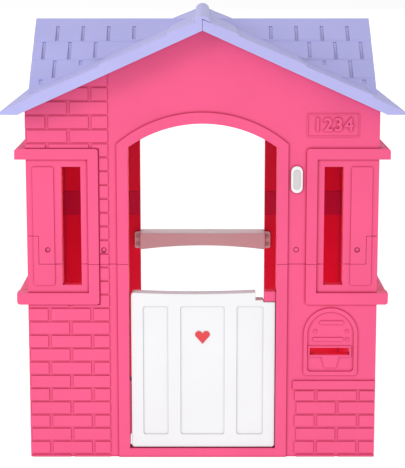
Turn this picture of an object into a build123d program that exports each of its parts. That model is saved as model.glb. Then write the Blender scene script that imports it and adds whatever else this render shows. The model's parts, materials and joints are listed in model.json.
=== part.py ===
"""Child-size cottage playhouse: hollow plastic wall panels, a gabled roof with two cross gables, a half door,
a counter, a push-button doorbell and four side-window shutters.

Millimetres. +Z is up, the front faces -Y, and the origin is on the floor at the middle of the house.
"""
import os
from math import cos, radians, tan

from build123d import *

# ---------------------------------------------------------------- walls
wall_width = 932.0  # over the outer faces of the side walls
wall_depth = 710.0  # over the front and rear wall faces
wall_thickness = 30.0
wall_skin = 1.8  # moulded skin of every hollow panel
wall_side_height = 948.7  # outer face of a side wall, up to the roof's underside
seam_height = 536.0  # lower edge of the lap between lower and upper panels
lap_height = 76.0
corner_ear = 31.0  # full-thickness strip at each corner that rises to the top of the lap
fit_gap = 0.4  # clearance between mating panels
relief = 2.5  # how far bricks and panels stand proud of a face

# ---------------------------------------------------------------- doorways
doorway_half = 196.5
threshold = 25.0
spring_height = 850.0  # where the arch leaves the jambs
crown_height = 913.0
trim_width = 29.9
trim_proud = 5.0

# ---------------------------------------------------------------- windows
surround_gap = 48.6  # doorway trim to window surround
surround_width = 28.0
surround_proud = 6.0
sill_bottom, sill_top = 426.0, 458.0
lintel_bottom, lintel_top = 818.0, 847.0
ledge_reach = 29.0  # ledges stand this far out from the side walls
ledge_radius = 8.0
slot_margin = 19.0  # surround to slot
slot_width = 51.0
slot_bottom, slot_top = 479.0, 798.0
blind_gap = 20.0  # slot to raised blind panel
blind_margin = 17.0  # raised blind panel to the corner
side_window_width = 300.0
shutter_thickness = 18.0
shutter_gap = 1.5
pivot_radius = 4.0
pivot_length = 8.0
pivot_fit = 0.08

# ---------------------------------------------------------------- brickwork
course_height = 37.07
brick_length = 113.9
mortar = 5.0  # level joints
upright_mortar = 9.0
first_joint_height = 8.6
brick_field_inset = 22.6  # doorway trim to the brick field
ledge_band_bottom, ledge_band_top = 190.6, 214.4
ledge_band_reach = 6.0  # ledge band past the brick field
bold_relief = 4.0  # mailbox rim and ledge band

# ---------------------------------------------------------------- mailbox and number plaque
mailbox_width = 145.0
mailbox_bottom, mailbox_top = 230.0, 416.0
mailbox_rim = 10.5
mailbox_corner = 9.0
mailbox_shift = -4.0  # from the window surround's edge
mail_slot_width = 107.0
mail_slot_bottom, mail_slot_top = 286.0, 306.0
mail_slot_frame = 5.0
mail_bar_height = 9.0
mail_stud = 4.0
plaque_width = 137.5
plaque_bottom, plaque_top = 877.0, 940.0
plaque_rim = 3.0
plaque_relief = 1.5

# ---------------------------------------------------------------- roof
roof_pitch = 24.4
roof_end_overhang = 75.0
roof_side_overhang = 56.7
roof_flat = 48.0  # width of the flat underside of each eave
roof_thickness = 28.0  # measured upright
roof_skin = 1.8
roof_seam = 0.4  # gap between the two halves
course_step = 5.5
first_course = 92.0
course_run = 172.0
shingle_width = 72.0
shingle_groove = 9.0
cross_pitch = 42.1
cross_drop = 17.0  # cross-gable ridge below the main ridge
cross_face = 8.0  # cross-gable end outside the side wall
cross_band = 22.0  # plain strip each side of a cross gable's ridge
cross_first_course = 68.0
cross_course_run = 53.0
cross_joint_starts = (65.0, 31.0)  # end of the cross gable to the first joint, by turns
valley_margin = 14.0  # joints stop this far short of a valley
eave_margin = 12.0
cap_width = 41.0
cap_side = 6.0  # upright edge of the ridge cap
cap_height = 10.0
groove_depth = 1.0
ridge_screw_x = 9.0
ridge_screw_share = 0.38  # outer ridge screws, as a share of the roof's length from its middle
ridge_screw_head = 2.0
ridge_screw_bite = 4.0
louvre_frame = (26.0, 40.0)  # outer and inner edges of the louvre's frame, in from the gable's edges
louvre_first = 55.0
louvre_pitch = 26.0
louvre_bar = 10.0
louvre_bars = 3

# ---------------------------------------------------------------- door
door_behind_wall = 5.0  # how far the door's back stands behind the wall's inner face
door_height = 431.0
door_side_gap = 5.0
door_latch_gap = 1.5
door_floor_gap = 2.0
door_corner = 8.0
door_panel_depth = 2.5
notch_width = 21.0
notch_depth = 21.0
shoulder_drop = 26.0
hinge_radius = 9.5
hinge_pin_radius = 3.0
hinge_fit = 0.06
hinge_bottom, hinge_top = 63.0, 215.0
hinge_lug_height = 14.0
hinge_setback = 10.0  # hinge axis behind the wall's inner face
hinge_beside_jamb = 6.5
hinge_pin_foot = 4.0  # closed bottom of the lower lug
hinge_strip_gap = 0.8
door_stile = 32.0
door_rail = 36.0
door_side_panel_left, door_side_panel_right = 67.0, 71.0
door_middle_panel = 118.0
door_panel_corner = 6.0
notch_from_edge = 32.0
badge_below_top = 123.0  # badge's middle below the door's top
badge_size = 19.0
badge_proud = 1.2
catch_rise = 3.0  # catch above the door's top
catch_gap = 1.5
catch_stem = 16.0
catch_stem_radius = 5.0
catch_stem_drop = 7.5  # stem below the door's top

# ---------------------------------------------------------------- counter
shelf_bottom, shelf_top = 432.0, 483.0
shelf_depth = 72.0
shelf_tab = 17.5
shelf_tab_depth = 14.0
shelf_corner = 6.0
shelf_arch = 12.0
shelf_arch_margin = 8.0
shelf_rim = 6.0
shelf_cells = 4
shelf_rib = 3.0
shelf_skin = 3.0
shelf_side_gap = 0.5

# ---------------------------------------------------------------- doorbell
bell_height_above_floor = 764.5
bell_width, bell_length = 31.0, 72.0
bell_proud = 6.0
bell_rim = 3.0  # housing rim over its hole
bell_wall = 1.6
button_width, button_length = 17.6, 52.0
button_gap = 0.3
button_seat = 1.5  # button's flange behind the wall face
button_flange = 1.2
board_depth = 9.0
board_thickness = 1.6
board_gap = 1.0
battery_radius = 5.8
battery_thickness = 5.4
battery_pitch = 12.2
battery_first = -22.0
speaker_radius = 9.0
speaker_thickness = 5.0
speaker_rise = 18.0
cover_thickness = 3.0
cover_screw_inset = 8.0
cover_screw_length = 10.0

# ---------------------------------------------------------------- fasteners
screw_radius = 2.2
screw_head_radius = 6.0
screw_head_height = 3.0
screw_length = 24.0
screw_clearance = 0.2
boss_radius = 9.0
seam_screw_height = 575.0
seam_screw_inset = 45.0  # from a side panel's ends
corner_lug_heights = (200.0, 900.0)
corner_lug = 14.0
corner_lug_height = 50.0

# ---------------------------------------------------------------- worked out
half_width = wall_width / 2
half_depth = wall_depth / 2
slope = tan(radians(roof_pitch))
cross_slope = tan(radians(cross_pitch))
ridge_under = wall_side_height + slope * half_width
ridge_top = ridge_under + roof_thickness
roof_half = half_width + roof_side_overhang
cross_ridge = ridge_top - cross_drop
cross_end = half_width + cross_face
cross_base = ridge_top - slope * cross_end
cross_courses = [cross_first_course + n * cross_course_run for n in range(3)]
main_courses = [first_course + n * course_run for n in range(int((roof_half - 20 - first_course) // course_run) + 1)]
lap_top = seam_height + lap_height
surround_edge = doorway_half + trim_width + surround_gap
field_edge = surround_edge + surround_width
slot_near = field_edge + slot_margin
slot_far = slot_near + slot_width
blind_near = slot_far + blind_gap
blind_far = half_width - blind_margin
brick_edge = doorway_half + trim_width + brick_field_inset
lap_split = wall_thickness / 2
seam_screws_at = (-blind_near - boss_radius * 2, -brick_edge - 13.0, brick_edge, blind_near + boss_radius * 2)
bell_x = brick_edge
roof_length = wall_depth + 2 * roof_end_overhang
seam_pocket = screw_head_height + 1.0
seam_pilot = relief + seam_pocket + screw_length + fit_gap
core_depth = wall_thickness - 2 * wall_skin
lap_core = lap_split - fit_gap / 2 - 2 * wall_skin
mailbox_left = surround_edge + mailbox_shift
mailbox_right = mailbox_left + mailbox_width
mailbox_middle = (mailbox_left + mailbox_right) / 2
mail_left, mail_right = mailbox_middle - mail_slot_width / 2 - 2, mailbox_middle + mail_slot_width / 2 - 2
plaque_left = surround_edge - 0.5
plaque_right = plaque_left + plaque_width
door_left = -doorway_half + door_side_gap
door_right = doorway_half - door_latch_gap
door_bottom = threshold + door_floor_gap
door_top = door_bottom + door_height
door_thickness = wall_thickness + door_behind_wall
badge_height = door_top - badge_below_top
catch_height = door_top - catch_stem_drop
hinge_axis = (-doorway_half - hinge_beside_jamb, -half_depth + wall_thickness + hinge_setback)
hole_width, hole_length = bell_width - 2 * bell_rim, bell_length - 2 * bell_rim
side_half = half_depth - wall_thickness - fit_gap
side_screws_at = (-side_half + seam_screw_inset, side_half - seam_screw_inset)
window_half = side_window_width / 2
pivot_inset = shutter_thickness / 2

front_face = Plane(origin=(0, -half_depth, 0), x_dir=(1, 0, 0), z_dir=(0, -1, 0))
rear_face = Plane(origin=(0, half_depth, 0), x_dir=(-1, 0, 0), z_dir=(0, 1, 0))
right_face = Plane(origin=(half_width, 0, 0), x_dir=(0, 1, 0), z_dir=(1, 0, 0))
left_face = Plane(origin=(-half_width, 0, 0), x_dir=(0, -1, 0), z_dir=(-1, 0, 0))


# ---------------------------------------------------------------- shared shapes
def area(x0, x1, z0, z1, radius=0.0, mode=Mode.ADD):
    """A rectangle given by its edges, inside the open sketch."""
    with Locations(((x0 + x1) / 2, (z0 + z1) / 2)):
        if radius:
            RectangleRounded(x1 - x0, z1 - z0, radius, mode=mode)
        else:
            Rectangle(x1 - x0, z1 - z0, mode=mode)


def arch(grow, base, mode=Mode.ADD):
    """The doorway's outline, grown by an amount all round, inside the open sketch."""
    half = doorway_half + grow
    corner = spring_height + 0.3 * grow
    with BuildLine() as outline:
        Polyline((-half, corner), (-half, base), (half, base), (half, corner))
        ThreePointArc((half, corner), (0, crown_height + grow), (-half, corner))
    make_face(outline.edges(), mode=mode)


def gable(inset, base, mode=Mode.ADD):
    """The end wall's outline under the roof, inside the open sketch."""
    half = half_width - inset
    drop = fit_gap + inset / cos(radians(roof_pitch))
    eave = ridge_under - drop - slope * half
    outline = ((-half, base), (half, base), (half, eave), (0, ridge_under - drop), (-half, eave))
    Polygon(*outline, align=None, mode=mode)


def capsule(width, length, mode=Mode.ADD):
    """An upright slot shape at the open location."""
    SlotOverall(length, width, rotation=90, mode=mode)


def brick_rows(x0, x1, z0, z1):
    """Courses of bricks clipped to a rectangle, inside the open sketch."""
    first = int((z0 - first_joint_height) // course_height) - 1
    last = int((z1 - first_joint_height) // course_height) + 1
    for course in range(first, last + 1):
        low = max(first_joint_height + course * course_height + mortar / 2, z0)
        high = min(first_joint_height + (course + 1) * course_height - mortar / 2, z1)
        if high - low < mortar:
            continue
        start = x0 - (brick_length if course % 2 else brick_length / 2)
        while start < x1:
            left = max(start + upright_mortar / 2, x0)
            right = min(start + brick_length - upright_mortar / 2, x1)
            if right - left > mortar:
                area(left, right, low, high)
            start += brick_length


def screw_group(places_by_plane):
    """Pan-head screws whose heads stand on each plane; places are in that plane's own coordinates."""
    with BuildPart() as group:
        for plane, places in places_by_plane:
            with BuildSketch(plane):
                with Locations(*places):
                    Circle(screw_head_radius)
            extrude(amount=screw_head_height, taper=12)
            with BuildSketch(plane):
                with Locations(*places):
                    Circle(screw_radius)
            extrude(amount=-screw_length)
    return group


def screw_pilot(places, plane, depth, pocket):
    """Pocket and pilot hole for each screw, cut from the open part."""
    if pocket:
        with BuildSketch(plane) as shape:
            with Locations(*places):
                Circle(screw_head_radius + 1.0)
        extrude(shape.sketch, amount=-pocket, mode=Mode.SUBTRACT)
    with BuildSketch(plane) as shape:
        with Locations(*places):
            Circle(screw_radius + screw_clearance)
    extrude(shape.sketch, amount=-depth, mode=Mode.SUBTRACT)



# ---------------------------------------------------------------- end walls, whole
def end_wall(face, is_front):
    """One end wall with all its relief and openings, before it is parted at the lap."""
    with BuildPart() as wall:
        with BuildSketch(face):
            gable(0, 0)
        extrude(amount=-wall_thickness)
        with BuildSketch(face):
            arch(trim_width, 0)
        extrude(amount=trim_proud)
        for side in (-1, 1):
            low, high = sorted((side * surround_edge, side * (half_width + ledge_reach)))
            inner_low, inner_high = sorted((side * field_edge, side * (half_width + 2 * ledge_reach)))
            with BuildSketch(face.offset(surround_proud)):
                area(low, high, sill_bottom, lintel_top, ledge_radius)
                area(inner_low, inner_high, sill_top, lintel_bottom, mode=Mode.SUBTRACT)
            extrude(amount=-(surround_proud + wall_thickness))
            pad_low, pad_high = sorted((side * blind_near, side * blind_far))
            with BuildSketch(face):
                area(pad_low, pad_high, slot_bottom, slot_top, 5)
            extrude(amount=relief)
        brick_sides = (-1,) if is_front else (-1, 1)
        for side in brick_sides:
            low, high = sorted((side * half_width, side * brick_edge))
            with BuildSketch(face):
                brick_rows(low, high, 0, ridge_under)
                gable(0, 0, mode=Mode.INTERSECT)
                keep_low, keep_high = sorted((side * (surround_edge - mortar / 2), side * (half_width + 1)))
                area(keep_low, keep_high, sill_bottom - 1, lintel_top + 1, mode=Mode.SUBTRACT)
            extrude(amount=relief)
        if is_front:
            mailbox_relief(face)
        # doorway, window slots and everything else that goes right through
        with BuildSketch(face.offset(surround_proud)):
            arch(0, threshold)
            for side in (-1, 1):
                low, high = sorted((side * slot_near, side * slot_far))
                area(low, high, slot_bottom, slot_top)
            if is_front:
                area(mail_left, mail_right, mail_slot_bottom, mail_slot_top)
                with Locations((bell_x, bell_height_above_floor)):
                    capsule(hole_width, hole_length)
        extrude(amount=-(surround_proud + wall_thickness + 1), mode=Mode.SUBTRACT)
        places = [(x, seam_screw_height) for x in seam_screws_at]
        screw_pilot(places, face.offset(relief), seam_pilot, seam_pocket + relief)
    return wall


def mailbox_relief(face):
    """Arched mailbox outline, bars and tray lip, the ledge band, the low bricks and the number plaque's frame."""
    radius = mailbox_width / 2
    arch_base = mailbox_top - radius
    with BuildSketch(face) as shape:
        for shrink, mode in ((0.0, Mode.ADD), (mailbox_rim, Mode.SUBTRACT)):
            left, right, bottom = mailbox_left + shrink, mailbox_right - shrink, mailbox_bottom + shrink
            area(left, right, bottom, arch_base, mailbox_corner, mode=mode)
            area(left, right, bottom + mailbox_corner, arch_base, mode=mode)
            with Locations((mailbox_middle, arch_base)):
                Circle(radius - shrink, mode=mode)
    extrude(shape.sketch, amount=bold_relief)
    tray_top = mail_slot_bottom - mail_slot_frame
    tray_foot = mailbox_bottom + 2 * mailbox_rim
    with BuildSketch(face) as shape:
        area(mail_left - mail_slot_frame, mail_right + mail_slot_frame, tray_top, mail_slot_top + mail_slot_frame)
        for low, reach in ((mailbox_top - 45, 30), (mail_slot_top + 19, 48)):
            area(mailbox_middle - reach, mailbox_middle + 35, low, low + mail_bar_height, mail_stud)
        Polygon((mailbox_middle - 24, tray_top), (mailbox_middle + 24, tray_top), (mailbox_middle + 16, tray_foot),
                (mailbox_middle - 16, tray_foot), align=None)
        with Locations((mailbox_middle - 41, arch_base + 8), (mailbox_middle + 43, arch_base + 8),
                       (mailbox_middle + 45, mail_slot_top + 23)):
            Circle(mail_stud)
    extrude(shape.sketch, amount=relief)
    with BuildSketch(face) as shape:
        area(brick_edge - ledge_band_reach, half_width, ledge_band_bottom, ledge_band_top)
    extrude(shape.sketch, amount=bold_relief)
    with BuildSketch(face) as shape:
        brick_rows(brick_edge, half_width, 0, ledge_band_bottom - mortar)
    extrude(shape.sketch, amount=relief)
    with BuildSketch(face) as shape:
        area(plaque_left, plaque_right, plaque_bottom, plaque_top, 4)
        area(plaque_left + plaque_rim, plaque_right - plaque_rim, plaque_bottom + plaque_rim, plaque_top - plaque_rim,
             2, mode=Mode.SUBTRACT)
    extrude(shape.sketch, amount=plaque_relief)


# ---------------------------------------------------------------- parting and hollowing the end walls
def lower_region(face):
    """The space of a lower end panel: full thickness, the lap's rear tongue, and the corner ears."""
    proud = surround_proud + 1
    with BuildPart() as region:
        with BuildSketch(face.offset(proud)):
            area(-half_width - 60, half_width + 60, -1, seam_height)
            for side in (-1, 1):
                low, high = sorted((side * (half_width - corner_ear), side * (half_width + 60)))
                area(low, high, seam_height - 1, lap_top)
        extrude(amount=-(proud + wall_thickness + 1))
        with BuildSketch(face.offset(-lap_split - fit_gap / 2)):
            area(-half_width, half_width, seam_height - 1, lap_top)
        extrude(amount=-wall_thickness)
    return region


def upper_region(face):
    """The space of an upper end panel: full thickness and the lap's front flange."""
    proud = surround_proud + 1
    with BuildPart() as region:
        with BuildSketch(face.offset(proud)):
            area(-half_width - 60, half_width + 60, lap_top + fit_gap, ridge_top)
        extrude(amount=-(proud + wall_thickness + 1))
        with BuildSketch(face.offset(proud)):
            ear = half_width - corner_ear - fit_gap
            area(-ear, ear, seam_height + fit_gap, lap_top + fit_gap)
        extrude(amount=-(proud + lap_split - fit_gap / 2))
    return region


def spare_openings(is_front):
    """Keep solid skins round the openings and bosses, inside the open sketch."""
    skin = wall_skin
    arch(skin, -1, mode=Mode.SUBTRACT)
    for side in (-1, 1):
        low, high = sorted((side * slot_near, side * slot_far))
        area(low - skin, high + skin, slot_bottom - skin, slot_top + skin, mode=Mode.SUBTRACT)
    if is_front:
        area(mail_left - skin, mail_right + skin, mail_slot_bottom - skin, mail_slot_top + skin, mode=Mode.SUBTRACT)
        with Locations((bell_x, bell_height_above_floor)):
            capsule(hole_width + 2 * skin, hole_length + 2 * skin, mode=Mode.SUBTRACT)
        socket = 2 * catch_stem_radius
        area(doorway_half - 1, doorway_half + catch_stem + socket / 2, catch_height - socket, catch_height + socket,
             mode=Mode.SUBTRACT)
    with Locations(*[(x, seam_screw_height) for x in seam_screws_at]):
        Circle(boss_radius, mode=Mode.SUBTRACT)
    with Locations((-half_width + 4, 0), (half_width - 4, 0)):
        Circle(wall_skin, mode=Mode.SUBTRACT)


def corner_lugs(face, heights):
    """Lugs behind an end panel that lie against the side panels' inner faces and carry the corner screws."""
    for side in (-1, 1):
        inner = half_width - wall_thickness - fit_gap
        low, high = sorted((side * inner, side * (inner - corner_lug)))
        with BuildSketch(face.offset(-wall_thickness)) as shape:
            for height in heights:
                area(low, high, height - corner_lug_height / 2, height + corner_lug_height / 2)
        extrude(shape.sketch, amount=-corner_lug * 2)


def lower_end_panel(face, whole, is_front):
    """The lower half of an end wall: hollow, with its lap tongue and corner ears."""
    with BuildPart() as panel:
        add(whole.part)
        add(lower_region(face).part, mode=Mode.INTERSECT)
        corner_lugs(face, corner_lug_heights[:1])
        with BuildSketch(face.offset(-wall_skin)):
            area(-half_width + wall_skin, half_width - wall_skin, wall_skin, seam_height - wall_skin)
            for side in (-1, 1):
                low, high = sorted((side * (half_width - corner_ear + wall_skin), side * (half_width - wall_skin)))
                area(low, high, seam_height - 10, lap_top - wall_skin)
            spare_openings(is_front)
        extrude(amount=-core_depth, mode=Mode.SUBTRACT)
        with BuildSketch(face.offset(-wall_thickness + wall_skin)):
            ear = half_width - corner_ear
            area(-ear, ear, seam_height, lap_top - wall_skin)
            spare_openings(is_front)
        extrude(amount=lap_core, mode=Mode.SUBTRACT)
        cut_corner_pilots(face, corner_lug_heights[0])
    return panel


def upper_end_panel(face, whole, is_front):
    """The upper half of an end wall: hollow, with its lap flange."""
    with BuildPart() as panel:
        add(whole.part)
        add(upper_region(face).part, mode=Mode.INTERSECT)
        corner_lugs(face, corner_lug_heights[1:])
        with BuildSketch(face.offset(-wall_skin)):
            gable(wall_skin, lap_top + fit_gap + wall_skin)
            spare_openings(is_front)
        extrude(amount=-core_depth, mode=Mode.SUBTRACT)
        with BuildSketch(face.offset(-wall_skin)):
            ear = half_width - corner_ear - fit_gap - wall_skin
            area(-ear, ear, seam_height + fit_gap + wall_skin, lap_top - wall_skin)
            spare_openings(is_front)
        extrude(amount=-lap_core, mode=Mode.SUBTRACT)
        cut_corner_pilots(face, corner_lug_heights[1])
    return panel


def corner_screw_plane(face, side):
    """The inner face of a corner lug; its normal points into the house."""
    inner = half_width - wall_thickness - fit_gap - corner_lug
    world_side = side if face is front_face else -side
    along = -1 if face is front_face else 1
    y = along * (half_depth - wall_thickness - corner_lug)
    return Plane(origin=(world_side * inner, y, 0), x_dir=(0, 1, 0), z_dir=(-world_side, 0, 0))


def upright(plane, height):
    """The local coordinates of a point at that height on an upright plane."""
    local = plane.to_local_coords(Vector(plane.origin.X, plane.origin.Y, height))
    return (local.X, local.Y)


def cut_corner_pilots(face, height):
    """A pilot hole through each corner lug at that height."""
    for side in (-1, 1):
        plane = corner_screw_plane(face, side)
        screw_pilot([upright(plane, height)], plane, corner_lug + fit_gap, 0)


whole_front = end_wall(front_face, True)
whole_rear = end_wall(rear_face, False)

front_lower = lower_end_panel(front_face, whole_front, True)
with BuildPart() as front_lower_panel:
    add(front_lower.part)
    # the strip on the left jamb that closes the door gap beside the hinge
    with BuildSketch(Plane.XY.offset(hinge_bottom)):
        area(-doorway_half - wall_skin, -doorway_half + door_side_gap - hinge_strip_gap, -half_depth,
             -half_depth + wall_thickness)
    extrude(amount=hinge_top - hinge_bottom)
    # two lugs behind the jamb that hold the hinge pin
    for lug_base in (hinge_bottom, hinge_top - hinge_lug_height):
        with BuildSketch(Plane.XY.offset(lug_base)):
            with Locations(hinge_axis):
                Circle(hinge_radius)
            area(hinge_axis[0] - hinge_radius, hinge_axis[0] + hinge_radius,
                 -half_depth + wall_thickness - wall_skin, hinge_axis[1])
        extrude(amount=hinge_lug_height)
    with BuildSketch(Plane.XY.offset(hinge_bottom + hinge_pin_foot)):
        with Locations(hinge_axis):
            Circle(hinge_pin_radius + hinge_fit)
    extrude(amount=hinge_top - hinge_bottom, mode=Mode.SUBTRACT)
    # socket in the right jamb for the catch's stem
    catch_plane = Plane(origin=(doorway_half, -half_depth + wall_thickness / 2, catch_height), z_dir=(1, 0, 0))
    with BuildSketch(catch_plane):
        Circle(catch_stem_radius + screw_clearance)
    extrude(amount=catch_stem + fit_gap, mode=Mode.SUBTRACT)
front_upper_panel = upper_end_panel(front_face, whole_front, True)
rear_lower = lower_end_panel(rear_face, whole_rear, False)
rear_upper_panel = upper_end_panel(rear_face, whole_rear, False)

# ---------------------------------------------------------------- counter across the rear doorway
shelf_inner = half_depth - wall_thickness
shelf_screw_heights = (shelf_bottom + 13, shelf_top - 13)
shelf_screw_x = doorway_half + shelf_tab / 2
shelf_middle = shelf_inner - shelf_tab_depth + wall_thickness / 2
cell_pitch = (2 * doorway_half - 2 * shelf_rim) / shelf_cells
with BuildPart() as shelf:
    with BuildSketch(Plane.XZ.offset(-(shelf_inner - shelf_tab_depth))):
        area(-doorway_half - shelf_tab, doorway_half + shelf_tab, shelf_bottom, shelf_top, shelf_corner)
    extrude(amount=-shelf_tab_depth)
    with BuildSketch(Plane.XZ.offset(-shelf_middle)):
        area(-doorway_half + shelf_side_gap, doorway_half - shelf_side_gap, shelf_bottom, shelf_top, 3)
    extrude(amount=shelf_depth / 2, both=True)
    # the shallow arch under the counter
    arch_half = doorway_half - shelf_arch_margin
    with BuildSketch(Plane.XZ.offset(-shelf_middle)):
        with BuildLine():
            Polyline((arch_half, shelf_bottom), (arch_half, shelf_bottom - 1), (-arch_half, shelf_bottom - 1),
                     (-arch_half, shelf_bottom))
            ThreePointArc((-arch_half, shelf_bottom), (0, shelf_bottom + shelf_arch), (arch_half, shelf_bottom))
        make_face()
    extrude(amount=shelf_depth, both=True, mode=Mode.SUBTRACT)
    # hollow underside between ribs
    with BuildSketch(Plane.XY.offset(shelf_bottom - 1)):
        with GridLocations(cell_pitch, 0, shelf_cells, 1):
            with Locations((0, shelf_middle)):
                Rectangle(cell_pitch - shelf_rib, shelf_depth - 2 * shelf_rib)
    extrude(amount=shelf_top - shelf_bottom + 1 - shelf_skin, mode=Mode.SUBTRACT)
    shelf_plane = Plane(origin=(0, shelf_inner - shelf_tab_depth, 0), x_dir=(1, 0, 0), z_dir=(0, -1, 0))
    shelf_places = [(s * shelf_screw_x, z) for s in (-1, 1) for z in shelf_screw_heights]
    screw_pilot(shelf_places, shelf_plane, shelf_tab_depth, 0)
shelf_screw_bite = screw_length - shelf_tab_depth
with BuildPart() as rear_lower_panel:
    add(rear_lower.part)
    bosses_plane = Plane(origin=(0, shelf_inner, 0), x_dir=(1, 0, 0), z_dir=(0, -1, 0))
    with BuildSketch(bosses_plane.offset(-wall_skin / 2)):
        with Locations(*shelf_places):
            Circle(screw_head_radius)
    extrude(amount=-(wall_thickness - wall_skin))
    screw_pilot(shelf_places, bosses_plane, shelf_screw_bite + fit_gap, 0)


# ---------------------------------------------------------------- side walls
# scattered bricks: start as a share of half the wall, course, count
brick_patches = ((-0.72, 4, 2), (-0.62, 5, 2), (-0.86, 0, 1), (0.55, 2, 2), (0.66, 3, 1), (-0.2, 1, 2),
                 (0.1, 8, 2), (0.2, 9, 1), (-0.7, 23, 2), (0.6, 22, 2), (0.7, 23, 1))


def whole_side(face):
    """A side wall with its ledges, window and scattered bricks, before it is parted at the lap."""
    with BuildPart() as wall:
        with BuildSketch(face):
            area(-side_half, side_half, 0, wall_side_height - fit_gap)
        extrude(amount=-wall_thickness)
        for low, high in ((sill_bottom, sill_top), (lintel_bottom, lintel_top)):
            with BuildSketch(Plane(origin=face.origin, x_dir=face.z_dir, z_dir=-face.x_dir)):
                area(-wall_thickness, ledge_reach, low, high, ledge_radius)
                area(-wall_thickness, 0, low, high)
            extrude(amount=side_half, both=True)
        with BuildSketch(face):
            area(-window_half - surround_width, window_half + surround_width, sill_top - 1, lintel_bottom + 1)
        extrude(amount=surround_proud)
        with BuildSketch(face):
            for shift, course, count in brick_patches:
                low = first_joint_height + course * course_height + mortar / 2
                for index in range(count):
                    start = shift * side_half + index * brick_length
                    area(max(start, -side_half), min(start + brick_length - mortar, side_half), low,
                         low + course_height - mortar)
        extrude(amount=relief)
        with BuildSketch(face.offset(surround_proud)):
            area(-window_half, window_half, slot_bottom, slot_top)
        extrude(amount=-(surround_proud + wall_thickness), mode=Mode.SUBTRACT)
        # sockets for the shutters' pivots, above and below the window
        with BuildSketch(Plane.XY.offset(slot_bottom - pivot_length - 0.5)):
            with Locations(*pivot_points(face)):
                Circle(pivot_radius + pivot_fit)
        extrude(amount=slot_top - slot_bottom + 2 * pivot_length + 1, mode=Mode.SUBTRACT)
        places = [(y, seam_screw_height) for y in side_screws_at]
        screw_pilot(places, face.offset(relief), seam_pilot, seam_pocket + relief)
    return wall


def pivot_points(face):
    """Plan positions of the two shutter axes of one side window."""
    x = face.origin.X - face.z_dir.X * (pivot_inset - surround_proud)
    return [(x, side * (window_half - shutter_gap - pivot_inset)) for side in (-1, 1)]


def side_regions(face):
    """The spaces of a side wall's lower and upper panels."""
    proud = ledge_reach + 1
    with BuildPart() as lower:
        with BuildSketch(face.offset(proud)):
            area(-half_depth, half_depth, -1, seam_height)
        extrude(amount=-(proud + wall_thickness + 1))
        with BuildSketch(face.offset(-lap_split - fit_gap / 2)):
            area(-half_depth, half_depth, seam_height - 1, lap_top)
        extrude(amount=-wall_thickness)
    with BuildPart() as upper:
        with BuildSketch(face.offset(proud)):
            area(-half_depth, half_depth, lap_top + fit_gap, ridge_top)
        extrude(amount=-(proud + wall_thickness + 1))
        with BuildSketch(face.offset(proud)):
            area(-half_depth, half_depth, seam_height + fit_gap, lap_top + fit_gap)
        extrude(amount=-(proud + lap_split - fit_gap / 2))
    return lower, upper


def spare_side_openings():
    """Keep solid skins round a side window, its pivot sockets and the screw bosses, inside the open sketch."""
    skin = wall_skin
    sockets = pivot_length + 0.5 + skin
    area(-window_half - skin, window_half + skin, slot_bottom - sockets, slot_top + sockets, mode=Mode.SUBTRACT)
    with Locations(*[(y, seam_screw_height) for y in side_screws_at]):
        Circle(boss_radius, mode=Mode.SUBTRACT)


def side_panels(face):
    """The hollow lower and upper panels of one side wall."""
    whole = whole_side(face)
    lower_space, upper_space = side_regions(face)
    inner_half = side_half - wall_skin
    ledge_core = ledge_reach - 2 * wall_skin
    with BuildPart() as lower:
        add(whole.part)
        add(lower_space.part, mode=Mode.INTERSECT)
        with BuildSketch(face.offset(-wall_skin)):
            area(-inner_half, inner_half, wall_skin, seam_height - wall_skin)
            spare_side_openings()
        extrude(amount=-core_depth, mode=Mode.SUBTRACT)
        with BuildSketch(face.offset(-wall_thickness + wall_skin)):
            area(-inner_half, inner_half, seam_height, lap_top - wall_skin)
            spare_side_openings()
        extrude(amount=lap_core, mode=Mode.SUBTRACT)
        with BuildSketch(face.offset(wall_skin)):
            area(-inner_half, inner_half, sill_bottom + wall_skin, sill_top - wall_skin)
        extrude(amount=ledge_core, mode=Mode.SUBTRACT)
        side_corner_pilots(face, corner_lug_heights[0])
    with BuildPart() as upper:
        add(whole.part)
        add(upper_space.part, mode=Mode.INTERSECT)
        with BuildSketch(face.offset(-wall_skin)):
            area(-inner_half, inner_half, lap_top + fit_gap + wall_skin, wall_side_height - fit_gap - wall_skin)
            spare_side_openings()
        extrude(amount=-core_depth, mode=Mode.SUBTRACT)
        with BuildSketch(face.offset(-wall_skin)):
            area(-inner_half, inner_half, seam_height + fit_gap + wall_skin, lap_top - wall_skin)
            spare_side_openings()
        extrude(amount=-lap_core, mode=Mode.SUBTRACT)
        with BuildSketch(face.offset(wall_skin)):
            area(-inner_half, inner_half, lintel_bottom + wall_skin, lintel_top - wall_skin)
        extrude(amount=ledge_core, mode=Mode.SUBTRACT)
        side_corner_pilots(face, corner_lug_heights[1])
    return lower, upper


def side_corner_pilots(face, height):
    """Bosses and blind pilots where the corner screws bite into a side panel."""
    bite = screw_length - corner_lug - fit_gap
    world_side = 1 if face is right_face else -1
    inner_x = world_side * (half_width - wall_thickness)
    inner_plane = Plane(origin=(inner_x, 0, 0), x_dir=(0, 1, 0), z_dir=(-world_side, 0, 0))
    y = half_depth - wall_thickness - corner_lug
    places = [upright_at(inner_plane, along * y, height) for along in (-1, 1)]
    with BuildSketch(inner_plane.offset(-wall_skin / 2)) as shape:
        with Locations(*places):
            Circle(boss_radius)
    extrude(shape.sketch, amount=-(wall_thickness - wall_skin))
    screw_pilot(places, inner_plane, bite + fit_gap, 0)


def upright_at(plane, y, height):
    """The local coordinates of a point at that y and height on an upright plane."""
    local = plane.to_local_coords(Vector(plane.origin.X, y, height))
    return (local.X, local.Y)


left_lower_panel, left_upper_panel = side_panels(left_face)
right_lower_panel, right_upper_panel = side_panels(right_face)


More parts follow.
